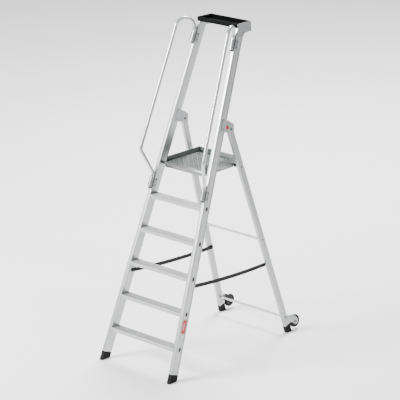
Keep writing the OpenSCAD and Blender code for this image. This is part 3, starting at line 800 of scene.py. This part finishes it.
for side, left in SIDES:
    s = Shape().loft(tube_rings(rail_path(), RAIL_R), "tube")
    s.make("handrail_%s_tube" % side, RAIL, left, "front_frame", ["handrail_" + side],
           "aluminium", sharp=50)
    s = Shape()
    for z0 in (RAIL_LOW, RAIL_HIGH):
        s.loft([at_z(circle(r), z0 + z) for r, z in (
            (12.1, -0.05), (12.5, -0.5), (12.5, -6.8), (12.2, -7.5), (11.4, -8.0), (4.0, -8.0))],
            "plastic")
    s.make("rail_end_caps_" + side, RAIL, left, "front_frame", ["rail_end_caps"],
           "black_plastic")
    # bright sleeves, held from the sides by two half shells
    s = Shape()
    for z0 in CLAMP_Z:
        s.loft([at_z(circle(r), z0 + z) for r, z in (
            (12.6, 0), (13.5, 0), (14, 0.5), (14, 69.5), (13.5, 70), (12.6, 70))],
            "tube", around=True)
    s.make("rail_sleeves_" + side, RAIL, left, "front_frame", ["rail_sleeves"], "aluminium")
    s = Shape()
    for z0 in CLAMP_Z:
        for k in (-1, 1):
            s.prism_z([(k * x, y) for x, y in shell], z0, z0 + CLAMP_LEN, "clamp", 0.4)
    # the faces in the notch get the dark bolt steel: painted shade of the gap between the sleeve
    # and the stile
    s.repaint("dark_bolt", in_notch_painted_shade)
    s.make("rail_clamps_%s_pressed" % side, STILE, left, "front_frame",
           ["rail_clamps_" + side], "clamp_steel")
    s = Shape()
    for z0 in CLAMP_Z:
        for z in (z0 + 18, z0 + 60):
            for out in (1, -1):
                s.button(out * shell_out, out, 18, z, 5, 3.5)
    s.make("clamp_bolts_" + side, STILE, left, "front_frame", ["clamp_bolts"], "zinc_steel")

# ---------- tray ----------

TRAY_X, TRAY_Y0, TRAY_Y1, TRAY_LOW = 189.5, 904 + Y_SHIFT, 1054 + Y_SHIFT, 2431
# rings from the underside, up the outside, over the stepped lip and down the inside:
# inset, corner radius and height over the underside
TRAY_RINGS = (
    (4.0, 6, 0), (2.2, 7, 0.6), (1.2, 8, 2.2), (0.7, 8, 12), (0.6, 8, 22.6),
    (0.0, 8.4, 23.4), (0.0, 8.4, 30.8), (0.5, 8, 31.7), (1.3, 7.4, 32),
    (3.2, 6, 32), (4.0, 5.4, 31.4), (4.2, 5.2, 25.8), (4.8, 5, 25.0),
    (8.6, 4.6, 24.8), (9.6, 4.2, 24.0), (10.4, 4.2, 18), (11.2, 4.6, 7),
    (12.6, 5, 4.9), (15, 5, 4.2),
)
RIB_T, RIB_PITCH = 3.0, 36.0


def tray_ring(d, r, h):
    loop = box_loop(d - TRAY_X, TRAY_X - d, TRAY_Y0 + d, TRAY_Y1 - d, r, 6)
    return at_z(loop, TRAY_LOW + h)


# faces inside the tray, which are painted darker as shade
def in_tray_shade_faces(corners):
    return all(abs(x) < 186 and TRAY_Y0 + 3.5 < y < TRAY_Y1 - 3.5 and z > TRAY_LOW + 4
               for x, y, z in corners)


s = Shape().loft([tray_ring(*ring) for ring in TRAY_RINGS], "tray")
# the inside and the ribs get the darker plastic: painted shade
s.repaint("tray_painted_shade", in_tray_shade_faces)
# ribs on the floor of the tray
for k in range(-4, 5):
    rib = rounded([(TRAY_Y0 + 24, TRAY_LOW + 4), (TRAY_Y1 - 24, TRAY_LOW + 4),
                   (TRAY_Y1 - 26, TRAY_LOW + 5.8), (TRAY_Y0 + 26, TRAY_LOW + 5.8)],
                  [0, 0, 1, 1], 3)
    s.plate_x(rib, k * RIB_PITCH - RIB_T / 2, RIB_T, "tray_painted_shade", 0.5)
s.make("tray_moulded", IN_PLACE, False, "front_frame", ["tray"], "black_plastic", sharp=40)

bracket_loop = rounded(
    [(-14, 2628), (127, 2681), (157, 2611), (88, 2588), (73, 2550), (5, 2545), (0, 2604)],
    [6, 6, 6, 12, 8, 8, 8], 5)
for side, left in SIDES:
    s = Shape().plate_x(bracket_loop, STILE_HALF, PLATE_T, "plate", 0.45)
    s.make("tray_bracket_%s_pressed" % side, STILE, left, "front_frame",
           ["tray_bracket_" + side], "aluminium")
    s = Shape()
    for y, z in ((64, 2584), (39, 2556)):
        s.button(STILE_HALF + PLATE_T, 1, y, z, 3.5, 2, socket=False)
        s.button(-STILE_HALF, -1, y, z, 3.5, 2, socket=False)
    s.make("tray_rivets_" + side, STILE, left, "front_frame", ["tray_rivets"], "zinc_steel")

# ---------- rear frame ----------


def fluted(depth):
    """Section of a rear foot, with five flutes in its outer and inner faces."""
    starts = [-22.5 + 10 * k for k in range(5)]
    pts = [(-14, -27), (14, -27)]
    for y in starts:
        pts += [(14, y), (14 - depth, y + 0.5), (14 - depth, y + 3.5), (14, y + 4)]
    pts += [(14, 27), (-14, 27)]
    for y in reversed(starts):
        pts += [(-14, y + 4), (-14 + depth * 0.6, y + 3.5), (-14 + depth * 0.6, y + 0.5), (-14, y)]
    return pts


leg_ends = (LEG_LOW, HINGE_Z / cos_deg(LEG_LEAN) / cos_deg(LEG_TAPER) + 32)
full, plain_section = fluted(1.5), fluted(0.001)
# section, inset, and height over the floor or z along the leg
rear_foot = ((plain_section, 1.2, 0.0, None), (plain_section, 0.0, 2.0, None),
             (full, 0.0, 3.0, None), (full, 0.0, None, 52.0), (plain_section, 0.0, None, 53.5),
             (plain_section, 0.0, None, 62.0), (plain_section, 0.9, None, 64.0))
for side, left in SIDES:
    s = Shape()
    for loop in (box_loop(-12.5, 12.5, -25, 25, 2.4, 5), box_loop(-10.5, 10.5, -23, 23, 1.2, 3)):
        s.loft([at_z(loop, z) for z in leg_ends], "leg", ends=False)
    s.make("leg_%s_profile" % side, LEG, left, "rear_frame", ["leg_" + side], "aluminium",
           open_ends=leg_ends)
    s = Shape()
    for z in TUBE_HEIGHTS.values():
        s.button(LEG_HALF, 1, 0, z / cos_deg(LEG_LEAN) / cos_deg(LEG_TAPER), 5.5, 3)
    s.make("tube_bolts_" + side, LEG, left, "rear_frame", ["tube_bolts"], "zinc_steel")
    rings = []
    for section, d, up, z in rear_foot:
        section = [(x * (1 - d / 14), y * (1 - d / 27)) for x, y in section]
        rings.append([(x, y, height_z(LEG, x, y, up) if z is None else z) for x, y in section])
    s = Shape().loft(rings, "foot")
    s.make("foot_rear_%s_rubber" % side, LEG, left, "rear_frame", ["foot_rear_" + side],
           "rubber", sharp=30)

leg_face = inner_face(LEG, LEG_HALF)
for name, z in TUBE_HEIGHTS.items():
    y = LEG_Y0 - z * tan_deg(LEG_LEAN) + Y_SHIFT
    s = Shape().loft(between(leg_face, [(y + u, z + v) for u, v in circle(TUBE_R)]), "tube_x")
    s.make("cross_tube_%s_drawn" % name, IN_PLACE, False, "rear_frame",
           ["cross_tube_" + name], "aluminium")

# wheels: tyre, ribbed hub and axle, each in the leg's frame; x from the wheel's inner side
WHEEL_X = LEG_HALF - WHEEL_PLAY - WHEEL_W
TYRE = (
    (0.0, 34.3), (0.0, 41.0), (0.5, 41.6), (0.5, 43.6), (0.0, 44.2), (0.3, 45.6), (1.2, 47.2),
    (2.8, 48.8), (5.0, 49.8), (7.3, 50.0), (7.5, 49.2), (8.7, 49.2), (8.9, 50.0), (11.7, 50.0),
    (11.9, 49.2), (13.1, 49.2), (13.3, 50.0), (16.1, 50.0), (16.3, 49.2), (17.5, 49.2),
    (17.7, 50.0), (20.0, 49.8), (22.2, 48.8), (23.8, 47.2), (24.7, 45.6), (25.0, 44.2),
    (24.5, 43.6), (24.5, 41.6), (25.0, 41.0), (25.0, 34.3),
)
HUB = (
    (2.4, 28.2), (2.0, 28.7), (2.0, 33.3), (2.5, 33.8), (22.5, 33.8), (23.0, 33.3),
    (23.0, 28.7), (22.6, 28.2), (14.6, 27.2), (14.2, 14.0), (24.2, 13.0), (24.8, 12.4),
    (24.8, 5.3), (0.2, 5.3), (0.2, 12.4), (0.8, 13.0), (10.8, 14.0), (10.4, 27.2),
)
HUB_RIBS = 8
# x and half thickness across a rib, and the radii that it runs between
RIB_SECTION = ((7.2, 0.7), (8.0, 1.2), (17.0, 1.2), (17.8, 0.7))
RIB_IN, RIB_OUT = 12.6, 29.5
AXLE_OUT = LEG_HALF + PLATE_T
AXLE_IN = LEG_HALF - 2 * WHEEL_PLAY - WHEEL_W


def on_wheel(profile):
    return [(WHEEL_X + x, r) for x, r in profile]


for side, left in SIDES:
    body = "wheel_" + side
    s = Shape().turned_x(on_wheel(TYRE), AXLE_Y, AXLE_Z, "tyre", 96, around=True)
    s.make("tyre_%s_rubber" % side, LEG, left, body, ["tyre_" + side], "rubber", sharp=40)
    s = Shape().turned_x(on_wheel(HUB), AXLE_Y, AXLE_Z, "hub", 72, around=True)
    for k in range(HUB_RIBS):
        a = 2 * math.pi * (k + 0.5) / HUB_RIBS
        c, q = math.cos(a), math.sin(a)
        s.loft([[(WHEEL_X + x, AXLE_Y + c * r - q * h, AXLE_Z + q * r + c * h)
                 for r, h in ((RIB_IN, -w), (RIB_OUT, -w), (RIB_OUT, w), (RIB_IN, w))]
                for x, w in RIB_SECTION], "hub")
    s.make("hub_%s_moulded" % side, LEG, left, body, ["hub_" + side], "black_plastic", sharp=30)
    s = Shape().turned_x(
        [(AXLE_IN - 6, 3.4), (AXLE_IN - 6, 7.6), (AXLE_IN - 5.2, 8.6), (AXLE_IN - 4.2, 9),
         (AXLE_IN, 9), (AXLE_IN, 5), (AXLE_OUT, 5), (AXLE_OUT, 9), (AXLE_OUT + 3.2, 9),
         (AXLE_OUT + 4.2, 8.6), (AXLE_OUT + 5, 7.6), (AXLE_OUT + 5, 4.2, "hex"),
         (AXLE_OUT + 2, 4.0, "hex")], AXLE_Y, AXLE_Z, "zinc", 48)
    s.make("axle_%s_turned" % side, LEG, left, "rear_frame", ["axle_" + side], "zinc_steel")

# ---------- platform ----------

# the deck's edges and the height of its raised bars
DECK_X, DECK_Y0, DECK_Y1, DECK_Z = 186.0, 573 + Y_SHIFT, 922.5 + Y_SHIFT, 1440
BAR_STEP, BAR_HALF, BAR_MARGIN = 34.6, 22.0, 4
# height under the deck's top, half width, and how much shorter the bar is at each end
BAR_SECTION = ((-1.2, 3.3, 0.0), (-0.7, 3.0, 0.3), (-0.2, 2.1, 1.2), (0.0, 1.0, 2.4))
BAR_POINTS = 12


def clipped(p, q):
    """The share of the segment from p to q that is inside the deck's margin."""
    t0, t1 = 0.0, 1.0
    for k, lo, hi in ((0, -DECK_X + BAR_MARGIN, DECK_X - BAR_MARGIN),
                      (1, DECK_Y0 + BAR_MARGIN, DECK_Y1 - BAR_MARGIN)):
        d = q[k] - p[k]
        ta, tb = (lo - p[k]) / d, (hi - p[k]) / d
        t0, t1 = max(t0, min(ta, tb)), min(t1, max(ta, tb))
    return (t0, t1) if t1 - t0 > 0.3 else None


def bar_ring(a, b, w):
    """Outline of a bar from a to b along it, with half-round ends of radius w."""
    half = BAR_POINTS // 2
    arc = [math.pi * k / (half - 1) for k in range(half)]
    return ([(b - w + w * math.sin(t), -w * math.cos(t)) for t in arc]
            + [(a + w - w * math.sin(t), w * math.cos(t)) for t in arc])


s = Shape()
s.prism_z(box_loop(-DECK_X, DECK_X, DECK_Y0, DECK_Y1, 0.8, 2),
          DECK_Z - 3, DECK_Z - 0.9, "deck", 0.3)
diagonal = BAR_STEP * math.sqrt(0.5)
for i in range(-12, 13):
    for j in range(-12, 13):
        cx, cy = (i + j) * diagonal, (DECK_Y0 + DECK_Y1) / 2 + (i - j) * diagonal
        turn = -45 if (i + j) % 2 == 0 else 45
        ux, uy = cos_deg(turn), sin_deg(turn)
        cut = clipped((cx - ux * BAR_HALF, cy - uy * BAR_HALF),
                      (cx + ux * BAR_HALF, cy + uy * BAR_HALF))
        if cut:
            a, b = [(2 * t - 1) * BAR_HALF for t in cut]
            s.loft([[(cx + u * ux - v * uy, cy + u * uy + v * ux, DECK_Z + h)
                     for u, v in bar_ring(a + e, b - e, w)] for h, w, e in BAR_SECTION], "bar")
s.make("deck_tread_plate", IN_PLACE, False, "platform", ["deck"], "deck_aluminium", sharp=30)

# ---------- straps ----------

STRAP_X, STRAP_SAG, STRAP_STEPS = 278, 15.0, 72
# how far each end runs on past its bolt, in radians about the arc's centre
STRAP_TIP = 0.0012
# upright (y, z) of the two bolts: one is 45 behind the stile's front face and 706 along
# the stile, the other 4 behind the leg's middle and 625 along the leg
STILE_BOLT = (45 * cos_deg(LEAN) + 706 * sin_deg(LEAN), 706 * cos_deg(LEAN) - 45 * sin_deg(LEAN))
LEG_BOLT = (LEG_Y0 + 4 * cos_deg(LEG_LEAN) - 625 * sin_deg(LEG_LEAN),
            4 * sin_deg(LEG_LEAN) + 625 * cos_deg(LEG_LEAN))
span_y, span_z = LEG_BOLT[0] - STILE_BOLT[0], LEG_BOLT[1] - STILE_BOLT[1]
chord = math.hypot(span_y, span_z)
fall = math.atan2(span_z, span_y)
arc_r = chord * chord / (8 * STRAP_SAG) + STRAP_SAG / 2
half = math.asin(chord / 2 / arc_r)
arc_y = (STILE_BOLT[0] + LEG_BOLT[0]) / 2 - (arc_r - STRAP_SAG) * math.sin(fall)
arc_z = (STILE_BOLT[1] + LEG_BOLT[1]) / 2 + (arc_r - STRAP_SAG) * math.cos(fall)


def strap_point(k, x, r):
    """Point of the strap at step k, r outside its centre line, with a slight ripple in x."""
    a = -math.pi / 2 + fall - half - STRAP_TIP + (2 * half + 2 * STRAP_TIP) * k / STRAP_STEPS
    return (x + 0.12 * math.sin(k * 0.9), arc_y + (arc_r + r) * math.cos(a) + Y_SHIFT,
            arc_z + (arc_r + r) * math.sin(a))


def strap_width(k):
    """Share of the full width at step k: each end is a rounded tongue."""
    end = min(k, STRAP_STEPS - k)
    return {0: 0.80, 1: 0.96}.get(end, 1.0)


section = rounded([(-15, 278.1), (15, 278.1), (15, 279.4), (-15, 279.4)], 0.5, 3)
for side, left in SIDES:
    s = Shape().loft([[strap_point(k, x, r * strap_width(k)) for r, x in section]
                      for k in range(STRAP_STEPS + 1)], "webbing")
    # stitched doubled ends
    for k0, k1 in ((1, 6), (STRAP_STEPS - 6, STRAP_STEPS - 1)):
        rings = []
        for k in range(k0, k1 + 1):
            x = 278.1 - 0.3 * (0.55 if k in (k0, k1) else 0.75)
            rings.append([strap_point(k, *p) for p in (
                (278.3, -13.6), (x, -14.0), (x, 14.0), (278.3, 13.6))])
        s.loft(rings, "webbing")
    ob = s.make("strap_%s_webbing" % side, IN_PLACE, left, "front_frame", (), "webbing",
                sharp=50, blended=True)
    x = (-1 if left else 1) * STRAP_X * MM
    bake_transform(ob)
    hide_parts("strap_" + side)

# ---------- label ----------


def label_loop(d, r):
    return box_loop(16 + d, 62 - d, 369 + d, 477 - d, r, 6)


# a plain film: red, a white keyline near its edge and a blank white bar
s = Shape()
s.plate_x(label_loop(0.3, 9), 12.50, 0.30, "label", 0.10)
s.plate_x(label_loop(2.6, 7), 12.79, 0.07, "label_white", 0.02)
s.plate_x(label_loop(4.2, 6), 12.85, 0.07, "label", 0.02)
s.plate_x(box_loop(34, 40, 396, 450, 2.4, 5), 12.91, 0.07, "label_white", 0.02)
s.make("label_plain", STILE, False, "front_frame", ["label"], "red_plastic")

# ---------- CAD nodes that stay, with softened edges ----------


def keep(node, mat, width):
    """Gives a CAD node its material and bevels its edges by width millimetres."""
    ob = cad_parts[node]
    me = ob.data
    me.materials.clear()
    me.materials.append(FINISHES[mat])
    for p in me.polygons:
        p.material_index = 0
        p.use_smooth = True
    weld = ob.modifiers.new("weld", "WELD")
    weld.merge_threshold = 1e-5
    bevel = ob.modifiers.new("soft_edges", "BEVEL")
    bevel.width = width * MM
    bevel.segments = 3
    bevel.limit_method = "ANGLE"
    bevel.angle_limit = math.radians(32)
    bevel.harden_normals = True
    bevel.use_clamp_overlap = True


for node, mat, width in (
    ("platform_spacers", "cad_plastic", 0.8), ("platform_pivot_bolts", "cad_zinc", 0.5),
    ("strap_anchors_front", "cad_plastic", 0.6), ("strap_anchors_rear", "cad_plastic", 0.6),
    ("tube_collars", "cad_plastic", 0.6), ("wheel_bracket_left", "cad_plate", 0.5),
    ("wheel_bracket_right", "cad_plate", 0.5), ("fascia", "cad_beam", 0.8),
    ("toe_board_left", "cad_board", 0.4), ("toe_board_right", "cad_board", 0.4),
    ("toe_board_rear", "cad_board", 0.4), ("saddles", "cad_plastic", 0.6),
):
    keep(node, mat, width)
# the boards' faces towards the deck get a dark slate colour: painted shade on their inner side
for node, inward in (("toe_board_left", (1, 0, 0)), ("toe_board_right", (-1, 0, 0)),
                     ("toe_board_rear", (0, -1, 0))):
    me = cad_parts[node].data
    me.materials.append(FINISHES["cad_board_painted_shade"])
    for p in me.polygons:
        if p.normal.dot(Vector(inward)) > 0.9:
            p.material_index = 1

# ---------- floor ----------

FLOOR = 60
me = bpy.data.meshes.new("floor")
me.from_pydata([(-FLOOR, -FLOOR, 0), (FLOOR, -FLOOR, 0), (FLOOR, FLOOR, 0), (-FLOOR, FLOOR, 0)],
               [], [(0, 1, 2, 3)])
me.materials.append(FINISHES["floor"])
floor = bpy.data.objects.new("floor", me)
bpy.context.collection.objects.link(floor)
